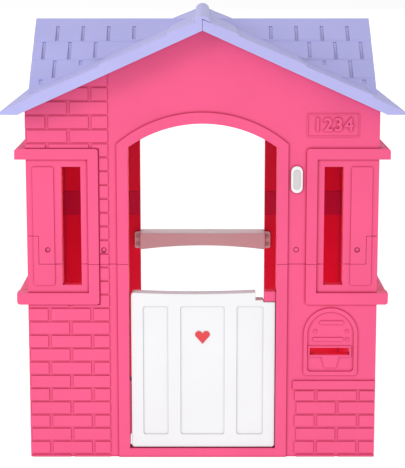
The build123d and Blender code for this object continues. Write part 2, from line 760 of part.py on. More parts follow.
# ---------------------------------------------------------------- side-window shutters
def shutter(face, end):
    """One leaf; end is +1 for the leaf hung at the +Y jamb and -1 for the other."""
    out = face.z_dir.X
    axis_x, axis_y = [p for p in pivot_points(face) if p[1] * end > 0][0]
    inner_edge = end * shutter_gap / 2
    bottom, top = slot_bottom + shutter_gap, slot_top - shutter_gap
    rail = 20.0
    sunk = 4.0
    slats = 6
    slat_gap = 3.0
    with BuildPart() as leaf:
        with BuildSketch(Plane.XY.offset(bottom)):
            with Locations((axis_x, axis_y)):
                Circle(shutter_thickness / 2)
            y_low, y_high = sorted((inner_edge, axis_y))
            area(axis_x - shutter_thickness / 2, axis_x + shutter_thickness / 2, y_low, y_high)
        extrude(amount=top - bottom)
        with BuildSketch(Plane.XY.offset(bottom - pivot_length)):
            with Locations((axis_x, axis_y)):
                Circle(pivot_radius)
        extrude(amount=top - bottom + 2 * pivot_length)
        # two sunk panels and slats on the outer face
        outer = Plane(origin=(axis_x + out * shutter_thickness / 2, 0, 0), x_dir=(0, out, 0), z_dir=(out, 0, 0))
        y_a, y_b = sorted((out * (inner_edge + end * (rail - 2)), out * (axis_y - end * rail / 3)))
        middle = (bottom + top) / 2
        panels = ((bottom + rail, middle - rail / 2), (middle + rail / 2, top - rail))
        with BuildSketch(outer):
            for low, high in panels:
                area(y_a, y_b, low, high)
        extrude(amount=-sunk, mode=Mode.SUBTRACT)
        with BuildSketch(outer.offset(-sunk)):
            for low, high in panels:
                pitch = (high - low) / slats
                for index in range(slats):
                    area(y_a, y_b, low + index * pitch + slat_gap, low + (index + 1) * pitch - slat_gap)
        extrude(amount=sunk - 1)
        # hollow inside
        with BuildSketch(outer.offset(-sunk - wall_skin)):
            area(y_a - rail / 2, y_b + 2, bottom + wall_skin + sunk, top - wall_skin - sunk)
        extrude(amount=-(shutter_thickness - sunk - 2 * wall_skin), mode=Mode.SUBTRACT)
    return leaf


shutters = {
    "left_front_shutter": shutter(left_face, -1),
    "left_rear_shutter": shutter(left_face, 1),
    "right_front_shutter": shutter(right_face, -1),
    "right_rear_shutter": shutter(right_face, 1),
}


# ---------------------------------------------------------------- roof
def slab_points(lift_top, lift_under, inset):
    """Half of the main roof's end view, from the ridge to the eave, stepped where each course of shingles ends."""
    def surface(x):
        return ridge_top - slope * x - lift_top
    points = [(roof_seam / 2 + inset, surface(0))]
    if not lift_top:
        for step_at in main_courses:
            points += [(step_at, surface(step_at) + course_step), (step_at + 1.5, surface(step_at))]
    eave_under = ridge_under - slope * (roof_half - roof_flat) + lift_under
    end = roof_half - inset
    points += [(end, surface(end)), (end, eave_under), (roof_half - roof_flat, eave_under),
               (roof_seam / 2 + inset, ridge_under + lift_under)]
    return points


def cross_points(drop, stepped):
    """A cross gable's end view."""
    base = ridge_under - slope * half_width - 40
    half = (cross_ridge - base) / cross_slope
    right = []
    if stepped:
        for y in cross_courses:
            surface = cross_ridge - drop - cross_slope * y
            right += [(y, surface + course_step), (y + 1.5, surface)]
    right += [(half - drop / cross_slope, base)]
    return [(0, cross_ridge - drop)] + right + [(-y, z) for y, z in reversed(right)]


def roof_shape(top_cut, under_lift, end_inset, seam_inset, stepped):
    """The main slope and its cross gable for the +X half; the cuts shrink it to make its hollow."""
    x0, x1 = roof_seam / 2 + seam_inset, cross_end - end_inset
    with BuildPart() as cross:
        with BuildSketch(Plane.XZ):
            under = ridge_under + under_lift
            corners = ((x0, under - slope * x0), (x1, under - slope * x1), (x1, ridge_top), (x0, ridge_top))
            Polygon(*corners, align=None)
        extrude(amount=half_depth, both=True)
        with BuildSketch(Plane.YZ):
            Polygon(*cross_points(top_cut, stepped), align=None)
        extrude(amount=cross_end, mode=Mode.INTERSECT)
    with BuildPart() as body:
        with BuildSketch(Plane.XZ):
            Polygon(*slab_points(top_cut, under_lift, end_inset), align=None)
        extrude(amount=roof_length / 2 - end_inset, both=True)
        add(cross.part)
    return body


def valley(y):
    """How far from the main ridge a cross-gable slope meets the main slope."""
    return (ridge_top - cross_ridge + cross_slope * abs(y)) / slope


def joint(across, top, bottom, stretch):
    """The groove between two shingles of one course, inside the open sketch."""
    if bottom - top > eave_margin:
        half = shingle_groove / 2
        area(across - half, across + half, -bottom * stretch, -top * stretch)


def shingle_joints():
    """Upright joints between shingles, staggered course by course, as one cutting body for the +X half."""
    above, below = course_step + 2, groove_depth
    main = Plane(origin=(0, 0, ridge_top), x_dir=(0, 1, 0), z_dir=(slope, 0, 1))
    stretch = 1 / cos(radians(roof_pitch))
    edges = [cap_width / 2 + 5] + main_courses + [roof_half + 5]
    cross_edges = [cross_band] + cross_courses + [(cross_ridge - cross_base) / cross_slope - eave_margin]
    cross_stretch = 1 / cos(radians(cross_pitch))
    count = int(roof_length / shingle_width) + 2
    with BuildPart() as joints:
        with BuildSketch(main.offset(above)):
            for row in range(len(edges) - 1):
                top, bottom = edges[row] + 3, edges[row + 1]
                for index in range(count):
                    y = (index - count / 2 + (row % 2) / 2) * shingle_width
                    if abs(y) > roof_length / 2 - valley_margin:
                        continue
                    gable_top = valley(y) - valley_margin
                    if gable_top > cross_end:
                        joint(y, top, bottom, stretch)
                    else:
                        joint(y, top, min(bottom, gable_top), stretch)
                        joint(y, max(top, cross_end + 2), bottom, stretch)
        extrude(amount=-(above + below))
        for facing in (-1, 1):
            slope_plane = Plane(origin=(0, 0, cross_ridge), x_dir=(-facing, 0, 0), z_dir=(0, facing * cross_slope, 1))
            with BuildSketch(slope_plane.offset(above)):
                for row in range(len(cross_edges) - 1):
                    x = cross_end - cross_joint_starts[row % 2]
                    while x > cap_width:
                        buried = (slope * x - ridge_top + cross_ridge) / cross_slope - valley_margin
                        joint(-facing * x, cross_edges[row] + 3, min(cross_edges[row + 1], buried), cross_stretch)
                        x -= shingle_width
            extrude(amount=-(above + below))
    return joints


def on_cap(y):
    """The plane of a ridge screw's seat on the cap."""
    seat = ridge_top + cap_height - slope * ridge_screw_x
    return Plane(origin=(ridge_screw_x, y, seat), x_dir=(0, 1, 0), z_dir=(slope, 0, 1))


ridge_screws_at = (-roof_length * ridge_screw_share, 0, roof_length * ridge_screw_share)
ridge_screw_depth = cap_height + roof_skin + ridge_screw_bite
with BuildPart() as ridge_screws:
    for screw_y in ridge_screws_at:
        with BuildSketch(on_cap(screw_y)):
            Circle(screw_head_radius)
        extrude(amount=ridge_screw_head, taper=15)
        with BuildSketch(on_cap(screw_y)):
            Circle(screw_radius)
        extrude(amount=-ridge_screw_depth)
with BuildPart() as ridge_pilots:
    for screw_y in ridge_screws_at:
        with BuildSketch(on_cap(screw_y)):
            Circle(screw_radius + screw_clearance)
        extrude(amount=-ridge_screw_depth - 1)
with BuildPart() as ridge_seats:
    for screw_y in ridge_screws_at:
        with BuildSketch(on_cap(screw_y)):
            Circle(screw_head_radius + 1)
        extrude(amount=cap_height)

with BuildPart() as plain_half:
    add(roof_shape(0, 0, 0, 0, True).part)
    # framed louvre on the end of the cross gable
    with BuildSketch(Plane.YZ.offset(cross_end)):
        for shrink, mode in zip(louvre_frame, (Mode.ADD, Mode.SUBTRACT)):
            peak = cross_ridge - shrink / cos(radians(cross_pitch))
            foot = cross_base + shrink
            reach = (peak - foot) / cross_slope
            Polygon((0, peak), (reach, foot), (-reach, foot), align=None, mode=mode)
        for bar in range(louvre_bars):
            z = cross_base + louvre_first + bar * louvre_pitch
            reach = (cross_ridge - louvre_frame[1] / cos(radians(cross_pitch)) - z) / cross_slope
            area(-reach, reach, z - louvre_bar / 2, z + louvre_bar / 2)
    extrude(amount=relief)
    add(shingle_joints().part, mode=Mode.SUBTRACT)
    add(roof_shape(roof_skin + 0.5, roof_skin, roof_skin, roof_skin, False).part, mode=Mode.SUBTRACT)
with BuildPart() as roof_right:
    add(plain_half.part)
    add(ridge_pilots.part, mode=Mode.SUBTRACT)
with BuildPart() as roof_left:
    add(mirror(plain_half.part, about=Plane.YZ, mode=Mode.PRIVATE))
    cap_half = cap_width / 2
    cap_drop = slope * cap_half
    lap_gap = course_step * cap_half / first_course + fit_gap
    cap_foot = ridge_top - cap_drop
    with BuildSketch(Plane.XZ):
        with BuildLine():
            Polyline((cap_half, cap_foot + cap_side), (cap_half, cap_foot + lap_gap), (0, ridge_top + lap_gap),
                     (-roof_seam / 2, ridge_top + lap_gap), (-roof_seam / 2, ridge_top - 1), (-cap_half, cap_foot - 1),
                     (-cap_half, cap_foot + cap_side))
            ThreePointArc((-cap_half, cap_foot + cap_side), (0, ridge_top + cap_height),
                          (cap_half, cap_foot + cap_side))
        make_face()
    extrude(amount=roof_length / 2, both=True)
    add(ridge_seats.part, mode=Mode.SUBTRACT)
    add(ridge_pilots.part, mode=Mode.SUBTRACT)

# ---------------------------------------------------------------- door
notch_right = door_right - notch_from_edge
notch_left = notch_right - notch_width
door_panels = ((door_left + door_stile, door_left + door_stile + door_side_panel_left),
               (-door_middle_panel / 2, door_middle_panel / 2),
               (door_right - door_stile - door_side_panel_right, door_right - door_stile))
panel_bottom, panel_top = door_bottom + door_rail, door_top - door_rail - 2
door_rear = -half_depth + door_thickness
barrel_bottom = hinge_bottom + hinge_lug_height + 1
barrel_top = hinge_top - hinge_lug_height - 1
with BuildPart() as door:
    with BuildSketch(front_face):
        with BuildLine():
            Polyline((notch_left, door_top - notch_depth), (notch_left, door_top))
            ThreePointArc((notch_left, door_top), (-20, door_top - 4), (door_left, door_top))
            Polyline((door_left, door_top), (door_left, door_bottom), (door_right, door_bottom),
                     (door_right, door_top - shoulder_drop), (notch_right, door_top - shoulder_drop),
                     (notch_right, door_top - notch_depth), (notch_left, door_top - notch_depth))
        make_face()
    extrude(amount=-door_thickness)
    corners = door.edges().filter_by(Axis.Y)
    fillet(corners.filter_by_position(Axis.Z, door_bottom - 1, door_bottom + 1), door_corner)
    corners = door.edges().filter_by(Axis.Y).filter_by_position(Axis.X, door_left - 1, door_left + 1)
    fillet(corners.sort_by(Axis.Z)[-1], door_corner)
    with BuildSketch(front_face):
        for left, right in door_panels:
            area(left, right, panel_bottom, panel_top, door_panel_corner)
    extrude(amount=-door_panel_depth, mode=Mode.SUBTRACT)
    core_front = wall_skin + door_panel_depth
    with BuildSketch(front_face.offset(-core_front)):
        area(door_left + wall_skin, door_right - wall_skin, door_bottom + wall_skin,
             door_top - shoulder_drop - wall_skin)
    extrude(amount=-(door_thickness - core_front - wall_skin), mode=Mode.SUBTRACT)
    # web and barrel that turn on the hinge pin
    with BuildSketch(Plane.XY.offset(barrel_bottom)):
        with Locations(hinge_axis):
            Circle(hinge_radius)
        area(hinge_axis[0], door_left + 14, door_rear - wall_skin / 2, hinge_axis[1] + hinge_radius)
        area(hinge_axis[0] - hinge_radius, door_left, door_rear - door_thickness, door_rear - 3.5, mode=Mode.SUBTRACT)
    extrude(amount=barrel_top - barrel_bottom)
    with BuildSketch(Plane.XY.offset(barrel_bottom)):
        with Locations(hinge_axis):
            Circle(hinge_pin_radius + hinge_fit)
    extrude(amount=barrel_top - barrel_bottom, mode=Mode.SUBTRACT)
with BuildPart() as door_hinge_pin:
    with BuildSketch(Plane.XY.offset(hinge_bottom + hinge_pin_foot)):
        with Locations(hinge_axis):
            Circle(hinge_pin_radius)
    extrude(amount=hinge_top - hinge_bottom - hinge_pin_foot)
    with BuildSketch(Plane.XY.offset(hinge_top)):
        with Locations(hinge_axis):
            Circle(hinge_pin_radius + 2)
    extrude(amount=2.5)
    chamfer(door_hinge_pin.edges().group_by(Axis.Z)[-1], 0.8)

lobe_width, lobe_height, cleft = badge_size * 0.66, badge_size * 0.86, badge_size * 0.45
with BuildPart() as door_badge:
    with BuildSketch(front_face.offset(-door_panel_depth)):
        with BuildLine():
            point, shoulder = (0, badge_height - badge_size), (badge_size, badge_height + 3)
            Line(point, shoulder)
            ThreePointArc(shoulder, (lobe_width, badge_height + lobe_height), (0, badge_height + cleft))
            left_shoulder = (-badge_size, badge_height + 3)
            ThreePointArc((0, badge_height + cleft), (-lobe_width, badge_height + lobe_height), left_shoulder)
            Line(left_shoulder, point)
        make_face()
    extrude(amount=badge_proud)

catch_bottom, catch_top = door_top - shoulder_drop + catch_gap, door_top + catch_rise
with BuildPart() as door_catch:
    with BuildSketch(front_face.offset(catch_gap)):
        area(notch_right + catch_gap, doorway_half - fit_gap, catch_bottom, catch_top, 3)
    extrude(amount=-wall_thickness)
    with BuildSketch(catch_plane.offset(-1)):
        Circle(catch_stem_radius)
    extrude(amount=catch_stem + 1)

# ---------------------------------------------------------------- doorbell
bell_back = front_face.offset(-wall_thickness)
bell_at = (bell_x, bell_height_above_floor)
socket_width, socket_length = hole_width - 2 * button_gap, hole_length - 2 * button_gap
button_back = button_seat + button_flange
dome_base = board_depth
with BuildPart() as doorbell_housing:
    with BuildSketch(front_face):
        with Locations(bell_at):
            capsule(bell_width, bell_length)
    extrude(amount=bell_proud)
    fillet(doorbell_housing.edges().group_by(Axis.Y)[0], 2.5)
    with BuildSketch(front_face):
        with Locations(bell_at):
            capsule(socket_width, socket_length)
    extrude(amount=-(wall_thickness - 3))
    with BuildSketch(front_face.offset(-1)):
        with Locations(bell_at):
            capsule(socket_width - 2 * bell_wall, socket_length - 2 * bell_wall)
    extrude(amount=-wall_thickness, mode=Mode.SUBTRACT)
    with BuildSketch(front_face.offset(bell_proud)):
        with Locations(bell_at):
            capsule(button_width + 2 * button_gap, button_length + 2 * button_gap)
    extrude(amount=-bell_proud - 2, mode=Mode.SUBTRACT)
with BuildPart() as doorbell_button:
    with BuildSketch(front_face.offset(-button_seat)):
        with Locations(bell_at):
            capsule(button_width, button_length)
    extrude(amount=bell_proud + button_seat + 1)
    fillet(doorbell_button.edges().group_by(Axis.Y)[0], 1.0)
    with BuildSketch(front_face.offset(-button_seat)):
        with Locations(bell_at):
            capsule(button_width + 2 * button_flange, button_length + 2 * button_flange)
    extrude(amount=-button_flange)
    with BuildSketch(front_face.offset(-button_back)):
        with Locations(bell_at):
            Circle(3)
    extrude(amount=-2)
with BuildPart() as doorbell_dome:
    with BuildSketch(front_face.offset(-dome_base)):
        with Locations(bell_at):
            Circle(4.5)
    extrude(amount=2.3, taper=20)
with BuildPart() as doorbell_board:
    with BuildSketch(front_face.offset(-board_depth)):
        with Locations(bell_at):
            capsule(socket_width - 2 * bell_wall - 2 * board_gap, socket_length - 2 * bell_wall - 2 * board_gap)
    extrude(amount=-board_thickness)
with BuildPart() as doorbell_speaker:
    speaker_base = board_depth + board_thickness
    with BuildSketch(front_face.offset(-speaker_base)):
        with Locations((bell_x, bell_height_above_floor + speaker_rise)):
            Circle(speaker_radius)
    extrude(amount=-speaker_thickness)
    with BuildSketch(front_face.offset(-speaker_base - speaker_thickness)):
        with Locations((bell_x, bell_height_above_floor + speaker_rise)):
            Circle(speaker_radius - 4)
    extrude(amount=-3)
battery_heights = [bell_height_above_floor + battery_first + n * battery_pitch for n in range(3)]
with BuildPart() as doorbell_batteries:
    with BuildSketch(front_face.offset(-speaker_base - fit_gap)):
        with Locations(*[(bell_x, height) for height in battery_heights]):
            Circle(battery_radius)
    extrude(amount=-battery_thickness)
cover_screw_at = (bell_x, bell_height_above_floor - hole_length / 2 + cover_screw_inset)
with BuildPart() as doorbell_cover:
    with BuildSketch(bell_back):
        with Locations(bell_at):
            capsule(bell_width + 4, bell_length + 8)
    extrude(amount=-cover_thickness)
    fillet(doorbell_cover.edges().group_by(Axis.Y)[-1], 1.5)
    with BuildSketch(bell_back):
        with Locations(cover_screw_at):
            Circle(screw_radius * 0.6 + screw_clearance)
    extrude(amount=-cover_thickness, mode=Mode.SUBTRACT)
with BuildPart() as doorbell_cover_screw:
    with BuildSketch(bell_back.offset(-cover_thickness)):
        with Locations(cover_screw_at):
            Circle(3)
    extrude(amount=-1.6)
    with BuildSketch(bell_back.offset(-cover_thickness)):
        with Locations(cover_screw_at):
            Circle(screw_radius * 0.6)
    extrude(amount=cover_screw_length)

# ---------------------------------------------------------------- screws
seam_places = [(x, seam_screw_height) for x in seam_screws_at]
side_places = [(y, seam_screw_height) for y in side_screws_at]
seam_screws = screw_group([(face.offset(-seam_pocket), places)
                           for face, places in ((front_face, seam_places), (rear_face, seam_places),
                                                (right_face, side_places), (left_face, side_places))])
corner_planes = [corner_screw_plane(face, side) for face in (front_face, rear_face) for side in (-1, 1)]
corner_screws = screw_group([(plane, [upright(plane, height)]) for plane in corner_planes
                             for height in corner_lug_heights])
shelf_screws = screw_group([(shelf_plane, shelf_places)])

# ---------------------------------------------------------------- write every node
nodes = {
    "front_lower_panel": front_lower_panel,
    "front_upper_panel": front_upper_panel,
    "rear_lower_panel": rear_lower_panel,
    "rear_upper_panel": rear_upper_panel,
    "left_lower_panel": left_lower_panel,
    "left_upper_panel": left_upper_panel,
    "right_lower_panel": right_lower_panel,
    "right_upper_panel": right_upper_panel,
    "roof_left": roof_left,
    "roof_right": roof_right,
    "ridge_screws": ridge_screws,
    "seam_screws": seam_screws,
    "corner_screws": corner_screws,
    "shelf": shelf,
    "shelf_screws": shelf_screws,
    "door": door,
    "door_badge": door_badge,
    "door_hinge_pin": door_hinge_pin,
    "door_catch": door_catch,
    "doorbell_housing": doorbell_housing,
    "doorbell_button": doorbell_button,
    "doorbell_dome": doorbell_dome,
    "doorbell_board": doorbell_board,
    "doorbell_speaker": doorbell_speaker,
    "doorbell_batteries": doorbell_batteries,
    "doorbell_cover": doorbell_cover,
    "doorbell_cover_screw": doorbell_cover_screw,
    **shutters,
}
os.makedirs("parts", exist_ok=True)
for node, built in nodes.items():
    built.part.label = node
    export_step(built.part, f"parts/{node}.step")
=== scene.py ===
"""Cottage playhouse: rounded mouldings, fasteners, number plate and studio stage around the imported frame."""
import json
import math

import bpy
from bpy.props import FloatProperty, FloatVectorProperty, IntProperty, PointerProperty, StringProperty
from bpy.types import Operator, Panel, PropertyGroup
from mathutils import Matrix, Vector

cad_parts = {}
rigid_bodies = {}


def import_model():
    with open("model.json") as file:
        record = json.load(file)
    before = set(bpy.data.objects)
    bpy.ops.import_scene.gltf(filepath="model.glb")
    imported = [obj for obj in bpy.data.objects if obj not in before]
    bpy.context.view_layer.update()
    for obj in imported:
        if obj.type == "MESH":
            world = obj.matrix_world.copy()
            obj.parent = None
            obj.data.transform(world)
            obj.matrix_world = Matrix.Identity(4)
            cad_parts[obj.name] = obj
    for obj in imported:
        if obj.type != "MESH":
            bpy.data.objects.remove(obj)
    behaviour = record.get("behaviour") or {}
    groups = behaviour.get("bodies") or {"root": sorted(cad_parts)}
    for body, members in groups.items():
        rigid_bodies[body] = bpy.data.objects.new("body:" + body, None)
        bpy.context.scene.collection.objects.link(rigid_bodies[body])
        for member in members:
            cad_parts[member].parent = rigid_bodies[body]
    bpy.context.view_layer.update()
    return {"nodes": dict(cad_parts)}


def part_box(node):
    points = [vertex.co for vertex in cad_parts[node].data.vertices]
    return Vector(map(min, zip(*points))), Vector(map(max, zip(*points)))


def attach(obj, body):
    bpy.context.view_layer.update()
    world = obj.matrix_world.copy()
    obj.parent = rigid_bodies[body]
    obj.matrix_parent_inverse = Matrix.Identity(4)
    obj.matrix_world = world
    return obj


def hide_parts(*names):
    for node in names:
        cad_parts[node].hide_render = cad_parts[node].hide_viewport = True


bl_info = {
    "name": "Cottage Playhouse",
    "version": (1, 0, 0),
    "blender": (4, 5, 0),
    "location": "View3D > Sidebar > Playhouse",
    "description": "Moulded plastic finish, fasteners and stage for a cottage playhouse",
    "category": "Object",
}

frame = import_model()

# ---------------------------------------------------------------- fixed sizes, in metres
HARD_ANGLE = math.radians(35)  # edges that turn more than this are corners
FLAT_ANGLE = math.radians(0.6)  # faces that turn less than this are one face
MERGE_DISTANCE = 0.00002
EDGE_SHARE = 0.4  # most of a narrow face that its rounded edge may take
BADGE_EDGE = 0.0004
ROOM_HALF_WIDTH, ROOM_HALF_DEPTH = 0.4365, 0.3255  # to the walls' inside faces, from which the painted room light is measured
ROOM_REACH, ROOM_FADE = 0.024, 0.004  # how far into the wall the painted room light goes
LAP_MIDDLE, LAP_HALF = 0.574, 0.038  # height of the lap between lower and upper panels, painted darker on the room side as shade where the doubled plastic lets less light through
PLATE_X, PLATE_Z = 0.3432, 0.9085
PLATE_PROUD = 0.0004
DIGIT_FONT_SCALE, DIGIT_SPACING = 1.36, 1.12
DIGIT_SWELL, DIGIT_BEVEL = 0.0008, 0.0006

# ---------------------------------------------------------------- surface of the plastic
CLOUD_SCALE, SCUFF_SCALE, WAVE_SCALE, GRAIN_SCALE = 5.0, 38.0, 14.0, 620.0
WAVE_STRENGTH, WAVE_DEPTH, GRAIN_DEPTH = 0.10, 0.004, 0.0006
# ambient-occlusion reach and range for the painted shade in joints and inside corners
SHADE_REACH, SHADE_OPEN, SHADE_DEEP = 0.0075, 0.96, 0.50
RUB_REACH, RUB_WEIGHT, RUB_PALING = 0.0016, 0.30, 0.30
TURNING_SCALE = 900.0
RUBBER_BLACK, BOARD_GREEN = (0.12, 0.12, 0.13), (0.03, 0.22, 0.09)

# ---------------------------------------------------------------- studio
FLOOR_SIZE, FLOOR_PLACE = 40, (0, 8, -0.0005)
FLOOR_TONE, FLOOR_GLOW = (0.30, 0.30, 0.30, 1), 0.86
SKY_LOW, SKY_HIGH = 0.25, 0.9  # heights between which the sky dims
SKY_TOP = 0.80
SKY_LEFT, SKY_RIGHT = 1.06, 0.90
LIGHTS = (  # name, place, size, power
    ("key_light", (-2.6, -3.2, 2.4), 1.4, 40.0),
    ("fill_light", (2.8, -3.0, 1.9), 2.4, 0.5),
    ("top_light", (0.0, 0.4, 3.6), 2.4, 0.5),
)
LIGHT_AIM = Vector((0, 0, 0.6))
CAMERA_LENS = 103.6
CAMERA_SHIFT = -0.17
CAMERA_PLACE = (0.0, -3.857, 1.359)
CAMERA_TILT = 8.57

# ---------------------------------------------------------------- nodes of the frame
WALL_PANELS = (
    "front_lower_panel", "front_upper_panel", "rear_lower_panel", "rear_upper_panel",
    "left_lower_panel", "left_upper_panel", "right_lower_panel", "right_upper_panel",
)
ROOF_HALVES = ("roof_left", "roof_right")
SHUTTERS = ("left_front_shutter", "left_rear_shutter", "right_front_shutter", "right_rear_shutter")
METAL_NODES = ("corner_screws", "shelf_screws", "door_hinge_pin", "doorbell_cover_screw",
               "doorbell_speaker", "doorbell_batteries")
SMALL_FINISHES = {
    "doorbell_housing": "bell", "doorbell_button": "button", "doorbell_cover": "bell",
    "doorbell_dome": "rubber", "doorbell_board": "board", "seam_screws": "screw",
    "ridge_screws": "cap_screw", **dict.fromkeys(METAL_NODES, "steel"),
}


# ---------------------------------------------------------------- sizes and colours
def colour(name, description, default):
    """A colour property."""
    return FloatVectorProperty(name=name, description=description, subtype="COLOR", size=3, min=0, max=1,
                               default=default)


class PlayhouseShapes(PropertyGroup):
    wall_edge: FloatProperty(name="Wall edge", description="Rounding of the wall mouldings' edges",
                             default=0.0013, unit="LENGTH")
    roof_edge: FloatProperty(name="Roof edge", description="Rounding of the roof mouldings' edges",
                             default=0.0014, unit="LENGTH")
    door_edge: FloatProperty(name="Door edge", description="Rounding of the door's edges", default=0.0018,
                             unit="LENGTH")
    small_edge: FloatProperty(name="Small edge", description="Rounding of shutters, counter and catch",
                              default=0.0012, unit="LENGTH")
    edge_segments: IntProperty(name="Edge segments", description="Facets across each rounded edge", default=2)
    digit_height: FloatProperty(name="Digit height", description="Height of the house number's digits",
                                default=0.036, unit="LENGTH")
    digit_depth: FloatProperty(name="Digit depth", description="How far the digits stand proud",
                               default=0.0022, unit="LENGTH")
    house_number: StringProperty(name="House number", description="Digits on the number plate",
                                 default="1234")


class PlayhouseColours(PropertyGroup):
    wall: colour("Walls", "Pink wall plastic", (0.84, 0.092, 0.235))
    # painted shade: the darker wall colour blended in where ambient occlusion finds a joint or corner
    wall_painted_shade: colour("Wall joints", "Pink plastic deep in a joint or corner", (0.50, 0.012, 0.075))
    # painted light: a redder copy of the wall colour for faces inside the room, standing in for light bounced
    # between the pink walls; the lap band is darker as painted shade
    room: colour("Room", "Wall plastic seen from inside", (0.93, 0.001, 0.050))
    room_lap_painted_shade: colour("Room lap", "Double plastic along the lap, from inside", (0.70, 0.001, 0.066))
    roof: colour("Roof", "Lavender roof plastic", (0.43, 0.425, 0.76))
    door: colour("Door", "White door plastic", (0.80, 0.80, 0.815))
    counter: colour("Counter", "Off-white counter plastic", (0.93, 0.89, 0.86))
    button: colour("Button", "Grey doorbell button", (0.60, 0.58, 0.57))
    badge: colour("Badge", "Red heart badge", (0.70, 0.015, 0.03))
    steel: colour("Steel", "Plated screws and pins", (0.62, 0.62, 0.64))


# ---------------------------------------------------------------- materials
def new_nodes(name):
    """A new material with its nodes, its links and its shader."""
    material = bpy.data.materials.new(name)
    material.use_nodes = True
    nodes = material.node_tree.nodes
    links = material.node_tree.links
    return material, nodes, links, nodes["Principled BSDF"]


def noise(nodes, links, place, scale, detail):
    """A noise pattern fixed to the piece."""
    pattern = nodes.new("ShaderNodeTexNoise")
    pattern.inputs["Scale"].default_value = scale
    pattern.inputs["Detail"].default_value = detail
    links.new(place.outputs["Object"], pattern.inputs["Vector"])
    return pattern.outputs["Fac"]


def remap(nodes, links, value, from_min, from_max, to_min, to_max):
    """A clamped change of range."""
    node = nodes.new("ShaderNodeMapRange")
    ends = {"From Min": from_min, "From Max": from_max, "To Min": to_min, "To Max": to_max}
    for name, number in ends.items():
        node.inputs[name].default_value = number
    links.new(value, node.inputs["Value"])
    return node.outputs["Result"]


def math_node(nodes, links, operation, first, second=None):
    """A math node fed by sockets or numbers."""
    node = nodes.new("ShaderNodeMath")
    node.operation = operation
    for slot, value in enumerate((first, second)):
        if value is None:
            continue
        if isinstance(value, (int, float)):
            node.inputs[slot].default_value = value
        else:
            links.new(value, node.inputs[slot])
    return node.outputs["Value"]


def blend_colour(nodes, links, factor, first, second):
    """A colour mix of sockets or plain colours."""
    node = nodes.new("ShaderNodeMix")
    node.data_type = "RGBA"
    links.new(factor, node.inputs["Factor"])
    for name, value in (("A", first), ("B", second)):
        if isinstance(value, bpy.types.NodeSocket):
            links.new(value, node.inputs[name])
        else:
            node.inputs[name].default_value = (*value, 1)
    return node.outputs["Result"]


def painted_crevice_shade(nodes, links):
    """Painted shade: how deeply a point lies in a joint or an inside corner by ambient occlusion, from 0 to 1.
    """
    node = nodes.new("ShaderNodeAmbientOcclusion")
    node.samples = 8
    node.inputs["Distance"].default_value = SHADE_REACH
    return remap(nodes, links, node.outputs["AO"], SHADE_DEEP, SHADE_OPEN, 1, 0)


def rubbed_edge(nodes, links):
    """How much a point is rubbed because it lies on an outward edge."""
    node = nodes.new("ShaderNodeAmbientOcclusion")
    node.inside = True
    node.samples = 4
    node.inputs["Distance"].default_value = RUB_REACH
    return remap(nodes, links, node.outputs["AO"], 0.35, 0.85, RUB_WEIGHT, 0)


def bump(nodes, links, height, strength, distance):
    """A bump made by a pattern's height."""
    node = nodes.new("ShaderNodeBump")
    node.inputs["Strength"].default_value = strength
    node.inputs["Distance"].default_value = distance
    links.new(height, node.inputs["Height"])
    return node


def painted_room_mask(nodes, links, place):
    """Mask for the painted room light: 1 on the faces that look into the room, 0 outside, and the height
    there.
    """
    axes = nodes.new("ShaderNodeSeparateXYZ")
    links.new(place.outputs["Object"], axes.inputs["Vector"])
    within = []
    for axis, half in (("X", ROOM_HALF_WIDTH), ("Y", ROOM_HALF_DEPTH)):
        distance = math_node(nodes, links, "ABSOLUTE", axes.outputs[axis])
        limit = half + ROOM_REACH
        within.append(remap(nodes, links, distance, limit, limit + ROOM_FADE, 1, 0))
    return math_node(nodes, links, "MULTIPLY", *within), axes.outputs["Z"]


def moulded_plastic(name, base, roughness, grain=0.06, gloss=0.0, shift=0.05, shade=None, painted_room_colours=None):
    """Moulded plastic: cloudy colour, fine grain, slow waviness, painted shade in joints and inside corners,
    and paler rubbed edges.
    """
    material, nodes, links, shader = new_nodes(name)
    place = nodes.new("ShaderNodeTexCoord")
    cloud = remap(nodes, links, noise(nodes, links, place, CLOUD_SCALE, 4.0), 0.3, 0.72, 0, 1)
    low = [c * (1 - shift) for c in base]
    high = [min(1, c * (1 + shift * 0.6)) for c in base]
    tone = blend_colour(nodes, links, cloud, low, high)
    # painted light: faces inside the room take the redder room colour for bounced light, and along the lap a
    # darker one as painted shade
    if painted_room_colours:
        inside, height = painted_room_mask(nodes, links, place)
        lap = math_node(nodes, links, "COMPARE", height, LAP_MIDDLE)
        lap.node.inputs[2].default_value = LAP_HALF
        room = blend_colour(nodes, links, lap, *painted_room_colours)
        tone = blend_colour(nodes, links, inside, tone, room)
    scuff = noise(nodes, links, place, SCUFF_SCALE, 5.0)
    worn = math_node(nodes, links, "MULTIPLY", rubbed_edge(nodes, links), scuff)
    pale = [c + (1 - c) * RUB_PALING for c in base]
    tone = blend_colour(nodes, links, worn, tone, pale)
    # painted shade: the colour is darkened where ambient occlusion finds a joint or inside corner
    painted_shade_tone = shade or [c * 0.62 for c in base]
    tone = blend_colour(nodes, links, painted_crevice_shade(nodes, links), tone, painted_shade_tone)
    links.new(tone, shader.inputs["Base Color"])
    polish = remap(nodes, links, scuff, 0, 1, roughness - 0.07, roughness + 0.09)
    links.new(polish, shader.inputs["Roughness"])
    fine = bump(nodes, links, noise(nodes, links, place, GRAIN_SCALE, 2.0), grain, GRAIN_DEPTH)
    slow = bump(nodes, links, noise(nodes, links, place, WAVE_SCALE, 1.0), WAVE_STRENGTH, WAVE_DEPTH)
    links.new(slow.outputs["Normal"], fine.inputs["Normal"])
    links.new(fine.outputs["Normal"], shader.inputs["Normal"])
    shader.inputs["Specular IOR Level"].default_value = 0.3
    if gloss:
        shader.inputs["Coat Weight"].default_value = gloss
        shader.inputs["Coat Roughness"].default_value = 0.25
    return material


